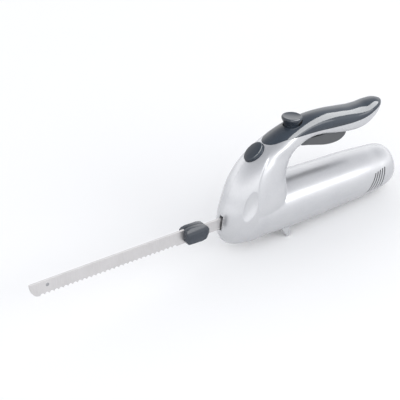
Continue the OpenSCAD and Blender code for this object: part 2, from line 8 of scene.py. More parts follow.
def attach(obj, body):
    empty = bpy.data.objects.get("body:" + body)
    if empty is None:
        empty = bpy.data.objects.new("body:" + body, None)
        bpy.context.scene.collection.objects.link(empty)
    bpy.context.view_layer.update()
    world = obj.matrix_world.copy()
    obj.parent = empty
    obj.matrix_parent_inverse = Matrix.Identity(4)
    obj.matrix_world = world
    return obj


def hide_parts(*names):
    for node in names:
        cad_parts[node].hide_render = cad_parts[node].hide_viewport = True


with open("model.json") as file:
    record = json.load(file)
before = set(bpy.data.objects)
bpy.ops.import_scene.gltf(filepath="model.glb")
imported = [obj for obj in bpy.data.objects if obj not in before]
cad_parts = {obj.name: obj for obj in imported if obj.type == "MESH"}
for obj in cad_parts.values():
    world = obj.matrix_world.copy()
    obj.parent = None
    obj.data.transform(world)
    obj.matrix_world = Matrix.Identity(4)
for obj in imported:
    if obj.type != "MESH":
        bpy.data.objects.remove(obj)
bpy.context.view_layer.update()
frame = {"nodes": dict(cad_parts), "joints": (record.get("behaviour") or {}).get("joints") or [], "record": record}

# the knife's own directions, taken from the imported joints
joints = {joint["name"]: joint for joint in frame["joints"]}
alongBlades = Vector(joints["left_drive_slide"]["axis"])  # from the blade tips to the rear
upKnife = Vector((-alongBlades.z, 0, alongBlades.x))
gearCentre = {"x": 60, "z": 12}  # mm from where the blades leave the nose
mm = 0.001
noseOrigin = (Vector(joints["gear_spin"]["pos_m"]) - alongBlades * gearCentre["x"] * mm
              - upKnife * gearCentre["z"] * mm)
toFrame = Matrix((
    (alongBlades.x * mm, 0, upKnife.x * mm, noseOrigin.x),
    (0, mm, 0, noseOrigin.y),
    (alongBlades.z * mm, 0, upKnife.z * mm, noseOrigin.z),
    (0, 0, 0, 1)))

# camera
view = {
    "turn": 36, "height": 30, "distance": 2200,  # degrees, degrees, mm
    "lens": 189.09, "sensor": 36, "farClip": 50, "aimRight": -0.01047, "aimUp": 0.00995}


def makeCamera():
    turn, height = math.radians(view["turn"]), math.radians(view["height"])
    right = Vector((math.cos(turn), -math.sin(turn), 0))
    up = Vector((math.sin(turn) * math.sin(height), math.cos(turn) * math.sin(height), math.cos(height)))
    ahead = Vector((math.sin(turn) * math.cos(height), math.cos(turn) * math.cos(height), -math.sin(height)))
    place = toFrame @ (-ahead * view["distance"])
    aim = (ahead + right * view["aimRight"] + up * view["aimUp"]).normalized()
    turnOnly = Matrix((
        (alongBlades.x, 0, upKnife.x), (0, 1, 0), (alongBlades.z, 0, upKnife.z)))
    aim, upRow = turnOnly @ aim, turnOnly @ up
    rightRow = aim.cross(upRow).normalized()
    upRow = rightRow.cross(aim)
    data = bpy.data.cameras.new("studioCamera")
    data.sensor_width = view["sensor"]
    data.lens = view["lens"]
    data.clip_end = view["farClip"]
    camera = bpy.data.objects.new("studioCamera", data)
    bpy.context.scene.collection.objects.link(camera)
    camera.matrix_world = Matrix.Translation(place) @ Matrix(
        (rightRow, upRow, -aim)).transposed().to_4x4()
    bpy.context.scene.camera = camera


makeCamera()
bpy.context.scene.view_settings.view_transform = "Standard"
print("camera ready")


# small helpers
def linear(hexColour):
    values = [int(hexColour[k:k + 2], 16) / 255 for k in (1, 3, 5)]
    return tuple(v / 12.92 if v <= 0.04045 else ((v + 0.055) / 1.055) ** 2.4 for v in values) + (1,)


def addNode(tree, kind, settings=None, inputs=None):
    node = tree.nodes.new(kind)
    for name, value in (settings or {}).items():
        setattr(node, name, value)
    for name, value in (inputs or {}).items():
        if isinstance(value, bpy.types.NodeSocket):
            tree.links.new(value, node.inputs[name])
        else:
            node.inputs[name].default_value = value
    return node


def smoothLine(points, steps):
    def pick(i):
        return points[min(max(i, 0), len(points) - 1)]
    line = []
    for i in range(len(points) - 1):
        a, b, c, d = pick(i - 1), pick(i), pick(i + 1), pick(i + 2)
        for k in range(steps):
            t = k / steps
            line.append([0.5 * (2 * q + (r - p) * t + (2 * p - 5 * q + 4 * r - s) * t * t
                                + (3 * q - p - 3 * r + s) * t ** 3) for p, q, r, s in zip(a, b, c, d)])
    line.append(list(points[-1]))
    return line


def meshObject(name, points, faces):
    mesh = bpy.data.meshes.new(name)
    mesh.from_pydata(points, [], faces)
    mesh.validate()
    made = bpy.data.objects.new(name, mesh)
    bpy.context.scene.collection.objects.link(made)
    return made


def outward(made):
    shape = bmesh.new()
    shape.from_mesh(made.data)
    bmesh.ops.recalc_face_normals(shape, faces=shape.faces)
    shape.to_mesh(made.data)
    shape.free()
    return made


def loft(name, rings):
    count = len(rings[0])
    points = [p for ring in rings for p in ring]
    faces = [(i * count + j, i * count + (j + 1) % count, (i + 1) * count + (j + 1) % count,
              (i + 1) * count + j)
             for i in range(len(rings) - 1) for j in range(count)]
    first, last = len(points), len(points) + 1
    points += [[sum(p[k] for p in ring) / count for k in range(3)] for ring in (rings[0], rings[-1])]
    top = (len(rings) - 1) * count
    faces += [(first, (j + 1) % count, j) for j in range(count)]
    faces += [(last, top + j, top + (j + 1) % count) for j in range(count)]
    return outward(meshObject(name, points, faces))


def prism(name, outline, low, high):
    # outline is x and z, pushed along y
    count = len(outline)
    points = [(x, low, z) for x, z in outline] + [(x, high, z) for x, z in outline]
    faces = [(j, (j + 1) % count, count + (j + 1) % count, count + j) for j in range(count)]
    faces += [tuple(range(count)), tuple(range(2 * count - 1, count - 1, -1))]
    made = outward(meshObject(name, points, faces))
    triangulate(made)
    return made


def triangulate(made):
    shape = bmesh.new()
    shape.from_mesh(made.data)
    bmesh.ops.triangulate(shape, faces=[f for f in shape.faces if len(f.verts) > 4])
    shape.to_mesh(made.data)
    shape.free()


def spun(name, profile, steps=96):
    # profile is radius and height, turned round z
    rings = [[(r * math.cos(2 * math.pi * j / steps), r * math.sin(2 * math.pi * j / steps), h)
              for j in range(steps)] for r, h in profile]
    return loft(name, rings)


def spunRing(name, profile, steps=96):
    # a closed profile turned round z, with a hole in the middle
    count = len(profile)
    points = [(r * math.cos(2 * math.pi * j / steps), r * math.sin(2 * math.pi * j / steps), h)
              for j in range(steps) for r, h in profile]
    faces = [(j * count + i, j * count + (i + 1) % count, (j + 1) % steps * count + (i + 1) % count,
              (j + 1) % steps * count + i) for j in range(steps) for i in range(count)]
    return outward(meshObject(name, points, faces))


def placed(made, matrix):
    made.data.transform(matrix)
    if matrix.determinant() < 0:
        made.data.flip_normals()
    return made


def combine(made, tool, operation, keepTool=False):
    change = made.modifiers.new("shape", "BOOLEAN")
    change.solver = "MANIFOLD"
    change.operation = operation
    change.object = tool
    settled(made)
    if not keepTool:
        bpy.data.objects.remove(tool)
    return made


def settled(made):
    bpy.context.view_layer.update()
    graph = bpy.context.evaluated_depsgraph_get()
    mesh = bpy.data.meshes.new_from_object(made.evaluated_get(graph))
    made.modifiers.clear()
    made.data = mesh
    return made


def duplicate(made, name):
    twin = bpy.data.objects.new(name, made.data.copy())
    bpy.context.scene.collection.objects.link(twin)
    return twin


def shaded(made, limit=32):
    shape = bmesh.new()
    shape.from_mesh(made.data)
    bmesh.ops.remove_doubles(shape, verts=shape.verts, dist=0.004)
    bmesh.ops.dissolve_degenerate(shape, edges=shape.edges, dist=0.002)
    for face in shape.faces:
        face.smooth = True
    for edge in shape.edges:
        edge.smooth = edge.is_manifold and edge.calc_face_angle(0) < math.radians(limit)
    shape.to_mesh(made.data)
    shape.free()
    return made


def finished(made, body, material, replaced=()):
    # from millimetres along the knife to the frame's metres
    made.data.transform(toFrame)
    made.data.materials.clear()
    made.data.materials.append(material)
    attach(made, body)
    if replaced:
        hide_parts(*replaced)
    return made


# materials: each is a real plastic or metal with how it was made
finishes = {
    # silver lacquer over moulded ABS: smooth, soft metallic sheen with a very faint cloudiness
    "satinSilverLacquer": {
        "colour": "#C6C7C9", "shade": "#C0C1C4", "metallic": 0.6, "roughness": 0.27, "roughSpread": 0,
        "grain": 2, "stretch": (1, 1, 1), "bump": 0, "depth": 0.00003},
    # polished dark ABS: sharp, clear reflections
    "polishedSlateAbs": {
        "colour": "#20262D", "shade": "#1C2128", "metallic": 0, "roughness": 0.08, "roughSpread": 0.01,
        "grain": 4, "stretch": (1, 1, 1), "bump": 0, "depth": 0.00004, "ior": 1.5},
    # spark-eroded ABS: fine even texture that scatters light
    "texturedGreyAbs": {
        "colour": "#4E5053", "shade": "#484A4D", "metallic": 0, "roughness": 0.46, "roughSpread": 0.06,
        "grain": 0.45, "stretch": (1, 1, 1), "bump": 0.16, "depth": 0.00008, "ior": 1.53},
    # ground stainless strip: fine lines across the blade
    "groundStainless": {
        "colour": "#D6D4D4", "shade": "#CECCCC", "metallic": 1, "roughness": 0.38, "roughSpread": 0.04,
        "grain": 0.5, "stretch": (1, 1, 0.05), "bump": 0.03, "depth": 0.00004},
    # glossy blue-grey ABS of the grips
    "glossyGreyAbs": {
        "colour": "#333A43", "shade": "#2E343D", "metallic": 0, "roughness": 0.14, "roughSpread": 0.02,
        "grain": 2.5, "stretch": (1, 1, 1), "bump": 0, "depth": 0.00005, "ior": 1.53},
    # peened steel rivet: dull grey
    "peenedSteel": {
        "colour": "#A2A3A5", "shade": "#939497", "metallic": 1, "roughness": 0.4, "roughSpread": 0.08,
        "grain": 0.6, "stretch": (1, 1, 1), "bump": 0.08, "depth": 0.00005},
    # moulded black nylon: dull with a faint flow mottle
    "blackNylon": {
        "colour": "#1E2126", "shade": "#282B31", "metallic": 0, "roughness": 0.5, "roughSpread": 0.08,
        "grain": 1.5, "stretch": (1, 1, 1), "bump": 0.08, "depth": 0.0001, "ior": 1.53},
    # drawn spring wire: bright with lines along the draw
    "springWire": {
        "colour": "#B9BABC", "shade": "#8E9093", "metallic": 1, "roughness": 0.3, "roughSpread": 0.1,
        "grain": 0.6, "stretch": (1, 1, 0.3), "bump": 0.06, "depth": 0.00005},
    # ground bright bar: fine turning lines
    "groundSteel": {
        "colour": "#C4C5C6", "shade": "#A9AAAC", "metallic": 1, "roughness": 0.25, "roughSpread": 0.08,
        "grain": 0.8, "stretch": (0.1, 1, 1), "bump": 0.05, "depth": 0.00005},
    # zinc plated pressed sheet: cloudy spangle 4 mm across
    "zincPlate": {
        "colour": "#A7A9AA", "shade": "#85888B", "metallic": 1, "roughness": 0.38, "roughSpread": 0.12,
        "grain": 4, "stretch": (1, 1, 1), "bump": 0.05, "depth": 0.0001},
    # pressed and sintered bronze: fine pores, dull brown gold
    "sinteredBronze": {
        "colour": "#A9824A", "shade": "#7C5C34", "metallic": 1, "roughness": 0.45, "roughSpread": 0.1,
        "grain": 0.5, "stretch": (1, 1, 1), "bump": 0.2, "depth": 0.0001},
    # hobbed brass: bright yellow with cutter marks
    "hobbedBrass": {
        "colour": "#D6B463", "shade": "#B38F45", "metallic": 1, "roughness": 0.26, "roughSpread": 0.08,
        "grain": 0.7, "stretch": (0.3, 1, 1), "bump": 0.08, "depth": 0.0001},
    # natural nylon: milky cream with soft flow clouds
    "naturalNylon": {
        "colour": "#E6E1CF", "shade": "#D8D2BC", "metallic": 0, "roughness": 0.42, "roughSpread": 0.06,
        "grain": 5, "stretch": (1, 1, 1), "bump": 0.06, "depth": 0.0001, "ior": 1.53},
    # red moulded acetal: smooth and waxy
    "redAcetal": {
        "colour": "#B3261E", "shade": "#981D17", "metallic": 0, "roughness": 0.33, "roughSpread": 0.05,
        "grain": 1, "stretch": (1, 1, 1), "bump": 0.05, "depth": 0.00005, "ior": 1.48},
    # fired ferrite: charcoal with a chalky grain
    "firedFerrite": {
        "colour": "#3B3C3E", "shade": "#2C2D2F", "metallic": 0, "roughness": 0.6, "roughSpread": 0.08,
        "grain": 0.8, "stretch": (1, 1, 1), "bump": 0.2, "depth": 0.0001, "ior": 1.6},
    # pressed carbon graphite: soft black sheen
    "pressedCarbon": {
        "colour": "#2A2A2B", "shade": "#1D1D1E", "metallic": 0, "roughness": 0.5, "roughSpread": 0.1,
        "grain": 0.5, "stretch": (1, 1, 1), "bump": 0.1, "depth": 0.0001, "ior": 1.6},
    # stacked iron laminations 0.5 mm thick: lines round the core
    "laminatedIron": {
        "colour": "#77797C", "shade": "#4B4D50", "metallic": 1, "roughness": 0.42, "roughSpread": 0.1,
        "grain": 0.5, "stretch": (1, 0.02, 0.02), "bump": 0.3, "depth": 0.0002},
    # wound enamelled copper: strands 0.4 mm wide
    "enamelledCopper": {
        "colour": "#B5683A", "shade": "#8A4726", "metallic": 1, "roughness": 0.32, "roughSpread": 0.1,
        "grain": 0.8, "stretch": (1, 0.2, 0.2), "bump": 0.3, "depth": 0.0002},
    # glass epoxy board under solder mask: green with a woven mottle
    "solderMask": {
        "colour": "#2F6B3D", "shade": "#25552F", "metallic": 0, "roughness": 0.35, "roughSpread": 0.06,
        "grain": 1.2, "stretch": (1, 1, 1), "bump": 0.08, "depth": 0.0001, "ior": 1.55},
    # moulded rubber bush: matt black, slightly dusty
    "mouldedRubber": {
        "colour": "#26272A", "shade": "#323336", "metallic": 0, "roughness": 0.68, "roughSpread": 0.08,
        "grain": 1, "stretch": (1, 1, 1), "bump": 0.12, "depth": 0.0001, "ior": 1.52},
}


# how the fine grain and the broad clouds of every finish mix
mottle = {"cloud": 22, "cloudDetail": 2, "fineDetail": 3, "fineRough": 0.55,  # cloud in mm
          "tintFrom": 0.12, "tintTo": 0.4, "roughFrom": 0.3, "roughTo": 0.7}


def makeFinish(name, look):
    material = bpy.data.materials.new(name)
    material.use_nodes = True
    tree = material.node_tree
    shader = tree.nodes["Principled BSDF"]
    for socket, key in (("Metallic", "metallic"), ("IOR", "ior")):
        if key in look:
            shader.inputs[socket].default_value = look[key]
    place = addNode(tree, "ShaderNodeTexCoord")
    along = addNode(tree, "ShaderNodeMapping", inputs={
        "Vector": place.outputs["Object"], "Scale": look["stretch"]})
    fine = addNode(tree, "ShaderNodeTexNoise", inputs={
        "Vector": along.outputs["Vector"], "Scale": 1 / (look["grain"] * mm),
        "Detail": mottle["fineDetail"], "Roughness": mottle["fineRough"]})
    broad = addNode(tree, "ShaderNodeTexNoise", inputs={
        "Vector": place.outputs["Object"], "Scale": 1 / (mottle["cloud"] * mm),
        "Detail": mottle["cloudDetail"]})
    share = addNode(tree, "ShaderNodeMath", {"operation": "MULTIPLY"},
                    {0: fine.outputs["Fac"], 1: broad.outputs["Fac"]})
    spread = addNode(tree, "ShaderNodeMapRange", inputs={
        "Value": share.outputs[0], "From Min": mottle["tintFrom"], "From Max": mottle["tintTo"]})
    tint = addNode(tree, "ShaderNodeMix", {"data_type": "RGBA"}, {
        0: spread.outputs["Result"], 6: linear(look["colour"]), 7: linear(look["shade"])})
    tree.links.new(tint.outputs[2], shader.inputs["Base Color"])
    rough = addNode(tree, "ShaderNodeMapRange", inputs={
        "Value": fine.outputs["Fac"], "From Min": mottle["roughFrom"], "From Max": mottle["roughTo"],
        "To Min": look["roughness"] - look["roughSpread"], "To Max": look["roughness"] + look["roughSpread"]})
    tree.links.new(rough.outputs["Result"], shader.inputs["Roughness"])
    bump = addNode(tree, "ShaderNodeBump", inputs={
        "Height": fine.outputs["Fac"], "Strength": look["bump"], "Distance": look["depth"]})
    tree.links.new(bump.outputs["Normal"], shader.inputs["Normal"])
    return material


materials = {name: makeFinish(name, look) for name, look in finishes.items()}
finishOfSlot = {
    "body_silver": "satinSilverLacquer", "cover_slate": "polishedSlateAbs",
    "button_slate": "polishedSlateAbs", "trigger_grey": "texturedGreyAbs",
    "blade_steel": "groundStainless", "rivet_steel": "peenedSteel", "guard_grey": "glossyGreyAbs",
    "inner_black": "blackNylon", "spring_steel": "springWire", "shaft_steel": "groundSteel",
    "plated_steel": "zincPlate", "bearing_bronze": "sinteredBronze", "worm_brass": "hobbedBrass",
    "nylon": "naturalNylon", "plunger_red": "redAcetal", "magnet": "firedFerrite",
    "brush_carbon": "pressedCarbon", "core_iron": "laminatedIron", "winding_copper": "enamelledCopper",
    "board_green": "solderMask", "inlet_rubber": "mouldedRubber"}
for part in frame["record"]["subparts"]:
    node = frame["nodes"][part["node"]]
    node.data.materials.clear()
    node.data.materials.append(materials[finishOfSlot[part["material_slot"]]])
print("materials ready")

# housing: barrel and column, hollow, in two halves
housing = {
    "wall": 2.4, "ring": 192, "innerRing": 64, "seamGap": 0.06, "seamDepth": 0.4,
    "hollowFrom": -26.8, "hollowTo": 206,
    "noseRadius": 29.2, "noseEnd": 34, "noseLength": 31, "leastRadius": 1.5,
    "box": [-20, 240, -60, 130, 60],  # x from and to, z from and to, half-width
    "tongue": [0.02, 1],
    "coverTop": [222, 112], "coverFront": 48, "coverOverlap": 2, "coverGap": 0.18,
    "slotFront": [97, 126, 75], "slotRear": [125, 161.5, 70.9],  # trigger slots: x from and to, top
    "slotSide": 0.5, "slotLow": 40,
    "bladeSlot": [(-10, -2.9, -9.6), (3.6, 2.9, 6.3)], "ovalGap": 0.35, "ovalReach": [-12, 18],
    "foot": {"x": 73, "y": 19, "z": -33.6, "long": 3.4, "half": 1.6, "rootBack": 4.5, "rootLong": 6.5,
             "rootHalf": 2.2, "rootHigh": -19.5, "round": 5, "chamfer": 0.3, "chamferShare": 0.04},
    "barrel": [  # x, radius, height of centre
        [34, 29.2, 0], [70, 30.6, 0], [92, 30.4, 0], [112, 29.7, 0], [136, 28.7, 0], [162, 28, 0],
        [183, 26.8, 0], [196, 25.5, 0], [204, 24.6, 0.4], [211, 23.2, 0.9], [216, 21.3, 1.2],
        [219.6, 18.2, 1.4], [222, 13, 1.5], [222.8, 5, 1.5]],
    "column": [  # front x z, rear x z, half-width, roundness front and rear
        [13, -29.2, 52, -29, 6, 2, 2.4], [5.5, -27.4, 58, -27, 13.8, 2, 2.4],
        [0, -23, 62, -22.5, 19.8, 2, 2.4], [-2.6, -15, 66, -15, 24.9, 2, 2.4],
        [-3, -6, 71, -6, 27.9, 1.95, 3], [-0.4, 8, 73.5, 8, 30, 1.85, 4],
        [4.2, 20, 73.5, 22, 29.1, 1.9, 3.6], [9, 32, 73.6, 36, 27, 2, 3],
        [15.5, 44, 75.8, 47, 24.9, 2, 2.9], [25, 55.5, 79.5, 56, 22.8, 2, 3],
        [38, 66, 85.5, 62.3, 20.7, 2, 3.1], [54, 75.5, 93, 66.7, 18.9, 2, 3.3],
        [73, 84, 102, 69.5, 17.16, 2, 3.5], [92, 89.4, 112, 70.2, 16.22, 2, 3.5],
        [112, 91.8, 124, 68.6, 15.6, 2, 3.5], [132, 91.4, 138, 65, 15.6, 2, 3.5],
        [152, 88.8, 154, 61.7, 15.6, 2, 3.5], [168, 86.2, 170, 60, 15.6, 2, 3.3],
        [181, 85.2, 182, 61.4, 15.29, 2, 3], [192.5, 85.8, 192, 65.6, 14.04, 2, 2.6],
        [202, 85.4, 200.5, 71.2, 10.92, 2, 2.2], [208, 83.4, 206.6, 76.6, 5.62, 2, 2],
        [210, 81.6, 209.4, 79.6, 1.56, 2, 2]],
    "coverEdge": [  # lower edge of the dark cover
        [48, 74.2], [60, 76], [72, 78.6], [86, 79], [106, 78], [134, 75.2], [161, 73.2], [180, 74.2],
        [193, 77.6], [203, 80], [216, 81.4]]}
noseRings = []
for x in (3.2, 5, 9, 15, 24):
    share = (housing["noseEnd"] - x) / housing["noseLength"]
    noseRings.append([x, housing["noseRadius"] * math.sqrt(1 - share ** 2), 0])
barrelLine = smoothLine(noseRings + housing["barrel"], 5)
columnLine = smoothLine(housing["column"], 6)


def barrelSkin(name, grow, count):
    line = [s for s in barrelLine if s[1] + grow > housing["leastRadius"]]
    rings = []
    for i, (x, r, z) in enumerate(line):
        shift = -grow if i == 0 else grow if i == len(line) - 1 else 0
        rings.append([(x + shift, (r + grow) * math.cos(2 * math.pi * j / count),
                       z + (r + grow) * math.sin(2 * math.pi * j / count)) for j in range(count)])
    return loft(name, rings)


def power(value, n):
    return math.copysign(abs(value) ** (2 / n), value)


def evenRing(section, grow, count):
    # points spaced evenly along each quarter of the outline
    top, under = Vector((section[0], section[1])), Vector((section[2], section[3]))
    half, middle = (top - under).length / 2, (top + under) / 2
    direction = (top - under) / (2 * half)
    width, tall = max(section[4] + grow, 0.3), max(half + grow, 0.3)
    ring = []
    for quarter in range(4):
        roundness = section[5] if quarter < 2 else section[6]
        dense = []
        for k in range(61):
            a = math.pi / 2 * (quarter + 0.5 - 0.5 * math.cos(math.pi * k / 60))
            y, h = width * power(math.cos(a), roundness), tall * power(math.sin(a), roundness)
            dense.append((y, h))
        travelled = [0]
        for k in range(60):
            travelled.append(travelled[-1] + math.dist(dense[k], dense[k + 1]))
        k = 0
        for j in range(count // 4):
            goal = travelled[-1] * j / (count // 4)
            while travelled[k + 1] < goal:
                k += 1
            share = (goal - travelled[k]) / max(travelled[k + 1] - travelled[k], 1e-9)
            y, h = [dense[k][m] + (dense[k + 1][m] - dense[k][m]) * share for m in (0, 1)]
            ring.append((middle.x + direction.x * h, y, middle.y + direction.y * h))
    return ring


def columnSkin(name, grow, count):
    # the hollow stops short of the foot of the column and the tip of the tail
    line = [s for s in columnLine
            if grow > -1 or (s[1] > housing["hollowFrom"] and s[0] < housing["hollowTo"])]
    return loft(name, [evenRing(section, grow, count) for section in line])


def ease(value, low, high):
    share = min(max((value - low) / (high - low), 0), 1)
    return share * share * (3 - 2 * share)


def lineAt(points, z):
    # x of a line of x and z points at height z
    for (x0, z0), (x1, z1) in zip(points, points[1:]):
        if z0 <= z <= z1:
            return x0 + (x1 - x0) * (z - z0) / (z1 - z0)
    return points[0][0] if z < points[0][1] else points[-1][0]


sidePanel = {
    "depth": 1.3, "frontSoft": 3, "rearSoft": 1, "rimWidth": 3.8, "bottom": -14, "bottomSoft": 16,
    "top": 73, "topSoft": 12, "fromMiddle": 8,
    "frontCrease": smoothLine([[27, -14], [26, 4], [26, 20], [28, 34], [32.5, 47], [39.5, 58], [48, 68],
                               [57, 78]], 6),
    "rearEdge": smoothLine([[61, -25], [66, -15], [71, -6], [73.5, 8], [73.5, 22], [73.6, 36], [75.8, 47],
                            [79.5, 56], [85.5, 62.3], [93, 66.7]], 6)}


def pressSidePanel(made):
    # a shallow flat field on each side, crisp at the rear rim and soft in front
    for vertex in made.data.vertices:
        x, y, z = vertex.co
        if abs(y) < sidePanel["fromMiddle"] or not -30 <= z <= sidePanel["top"] + 1 or x > 100:
            continue
        inFront = ease(x - lineAt(sidePanel["frontCrease"], z), 0, sidePanel["frontSoft"])
        rim = lineAt(sidePanel["rearEdge"], z) - sidePanel["rimWidth"] - x
        behind = ease(rim, 0, sidePanel["rearSoft"])
        raised = ease(z, sidePanel["bottom"], sidePanel["bottom"] + sidePanel["bottomSoft"])
        under = 1 - ease(z, sidePanel["top"] - sidePanel["topSoft"], sidePanel["top"])
        vertex.co.y -= math.copysign(sidePanel["depth"] * inFront * behind * raised * under, y)


def outerBody(name, grow, count):
    column = columnSkin(name + "Column", grow, count)
    if grow > -1:
        pressSidePanel(column)
    return combine(barrelSkin(name, grow, count), column, "UNION")


def coverZone(name, lift):
    # everything above the cover's lower edge
    outline = [(x, z + lift) for x, z in smoothLine(housing["coverEdge"], 8)]
    right, top = housing["coverTop"]
    front = housing["coverFront"] - (housing["coverOverlap"] if lift else 0)
    outline += [(right, top), (front, top)]
    return prism(name, outline, -40, 40)


def slab(name, low, high):
    corners = [(x, y, z) for x in (low[0], high[0]) for y in (low[1], high[1]) for z in (low[2], high[2])]
    faces = [(0, 1, 3, 2), (4, 6, 7, 5), (0, 4, 5, 1), (2, 3, 7, 6), (0, 2, 6, 4), (1, 5, 7, 3)]
    return outward(meshObject(name, corners, faces))


def ball(name, centre, radii, lean, turn=0, steps=64):
    rings = []
    for i in range(steps // 2 + 1):
        # the poles are tiny rings, so no edge has zero length
        b = math.pi * (i + 0.02) / (steps / 2 + 0.04)
        rings.append([(radii[0] * math.sin(b) * math.cos(2 * math.pi * j / steps),
                       radii[1] * math.sin(b) * math.sin(2 * math.pi * j / steps),
                       -radii[2] * math.cos(b)) for j in range(steps)])
    return placed(loft(name, rings), Matrix.Translation(centre) @ Matrix.Rotation(math.radians(lean), 4, "Y")
                  @ Matrix.Rotation(math.radians(turn), 4, "Z"))


dish = {"x": 15.8, "y": 29.8, "z": 21.5, "across": 11.2, "deep": 10, "long": 29, "lean": 24, "turn": 25,
        "wall": 2}


def fingerDish(side, grow):
    return ball("dish", (dish["x"], side * dish["y"], dish["z"]),
                (dish["across"] + grow, dish["deep"] + grow, dish["long"] + grow), dish["lean"],
                side * dish["turn"], 96)


controls = {
    "lockPlace": (90.6, 96.2), "lockLean": 4, "lockRadius": 11.2, "lockDrum": 13, "lockStem": 19.5,
    "releasePlace": (41.4, 68.1), "releaseLean": 36, "releaseLong": 12.5, "releaseWide": 8.8,
    "releaseProud": 4.4, "releaseSkirt": 8, "pivot": (103, 74.5), "triggerHalf": 7}
lockFrame = (Matrix.Translation((controls["lockPlace"][0], 0, controls["lockPlace"][1]))
             @ Matrix.Rotation(math.radians(controls["lockLean"]), 4, "Y"))
releaseFrame = (Matrix.Translation((controls["releasePlace"][0], 0, controls["releasePlace"][1]))
                @ Matrix.Rotation(math.radians(-controls["releaseLean"]), 4, "Y"))
vents = {"count": 5, "x": 182.5, "z": -2.5, "step": 4.1, "rise": 0.4, "lean": 27, "turn": -3.2,
         "width": 1.5, "height": 23, "reach": 20, "out": 24}
screws = {"at": [[30, -19], [64, 44], [130, 20.5], [194, 0], [176, 69.5]], "well": 3.3, "sunk": 8,
          "deep": 60}
bush = {"place": (212, 0, 1.5), "hole": 6.05, "deep": 20, "profile": [
    (3.5, 0), (7.6, 0), (7.6, 1.6), (6, 1.6), (6, 9.6), (5.9, 10.4), (5.4, 11.1), (4.6, 11.3), (3.8, 11.25),
    (3.5, 10.9)]}
bushFrame = Matrix.Translation(bush["place"]) @ Matrix.Rotation(math.pi / 2, 4, "Y")


def nodeTreeFor(name, sizes):
    tree = bpy.data.node_groups.new(name, "GeometryNodeTree")
    tree.interface.new_socket("Geometry", in_out="OUTPUT", socket_type="NodeSocketGeometry")
    for key, value in sizes.items():
        kind = "NodeSocketInt" if isinstance(value, int) else "NodeSocketFloat"
        tree.interface.new_socket(key, in_out="INPUT", socket_type=kind)
    return tree


def grown(name, tree, sizes):
    # runs a tree with its sizes and leaves a plain mesh
    made = meshObject(name, [(0, 0, 0)], [])
    change = made.modifiers.new("grow", "NODES")
    change.node_group = tree
    for item in tree.interface.items_tree:
        if item.item_type == "SOCKET" and item.in_out == "INPUT":
            change[item.identifier] = sizes[item.name]
    return settled(made)


def makeVentCutter():
    # slanted slots in a row, each turned a little further than the last
    sizes = {"Count": vents["count"], "Step": float(vents["step"]), "Rise": float(vents["rise"]),
             "Lean": math.radians(vents["lean"]), "Turn": math.radians(vents["turn"]),
             "Width": float(vents["width"]), "Height": float(vents["height"]),
             "Reach": float(vents["reach"])}
    tree = nodeTreeFor("ventRow", sizes)
    given = addNode(tree, "NodeGroupInput").outputs
    step = addNode(tree, "ShaderNodeCombineXYZ", inputs={"X": given["Step"], "Z": given["Rise"]})
    row = addNode(tree, "GeometryNodeMeshLine", {"mode": "OFFSET"}, {
        "Count": given["Count"], "Offset": step.outputs["Vector"]})
    size = addNode(tree, "ShaderNodeCombineXYZ", inputs={
        "X": given["Width"], "Y": given["Reach"], "Z": given["Height"]})
    bar = addNode(tree, "GeometryNodeMeshCube", inputs={"Size": size.outputs["Vector"]})
    index = addNode(tree, "GeometryNodeInputIndex")
    turned = addNode(tree, "ShaderNodeMath", {"operation": "MULTIPLY_ADD"}, {
        0: index.outputs[0], 1: given["Turn"], 2: given["Lean"]})
    angle = addNode(tree, "ShaderNodeCombineXYZ", inputs={"Y": turned.outputs[0]})
    copies = addNode(tree, "GeometryNodeInstanceOnPoints", inputs={
        "Points": row.outputs["Mesh"], "Instance": bar.outputs["Mesh"], "Rotation": angle.outputs["Vector"]})
    real = addNode(tree, "GeometryNodeRealizeInstances", inputs={"Geometry": copies.outputs["Instances"]})
    coated = addNode(tree, "GeometryNodeSetMaterial", inputs={
        "Geometry": real.outputs["Geometry"], "Material": materials["satinSilverLacquer"]})
    addNode(tree, "NodeGroupOutput", inputs={"Geometry": coated.outputs["Geometry"]})
    return grown("ventCutter", tree, sizes)


def seatedOval(name, long, wide, low, high):
    rings = [[(long * math.cos(2 * math.pi * j / 96), wide * math.sin(2 * math.pi * j / 96), h)
              for j in range(96)] for h in (low, high)]
    return placed(loft(name, rings), releaseFrame)


def foot(side):
    # fin under the belly, long at its root and small where it stands
    size = housing["foot"]
    level = math.atan2(-alongBlades.z, alongBlades.x)
    base = Matrix.Translation((size["x"], side * size["y"], size["z"])) @ Matrix.Rotation(-level, 4, "Y")
    rings = []
    for share in (0, 0.04, 0.12, 0.3, 0.55, 0.8, 1):
        inset = size["chamfer"] * max(0, 1 - share / size["chamferShare"])
        ring = []
        for j in range(32):
            a = 2 * math.pi * j / 32
            u, v = power(math.cos(a), size["round"]), power(math.sin(a), size["round"])
            low = base @ Vector((u * (size["long"] / 2 - inset), v * (size["half"] - inset), 0.0))
            high = Vector((size["x"] - size["rootBack"] + u * size["rootLong"],
                           side * size["y"] + v * size["rootHalf"], size["rootHigh"]))
            ring.append(tuple(low.lerp(high, share)))
        rings.append(ring)
    return loft("foot", rings)


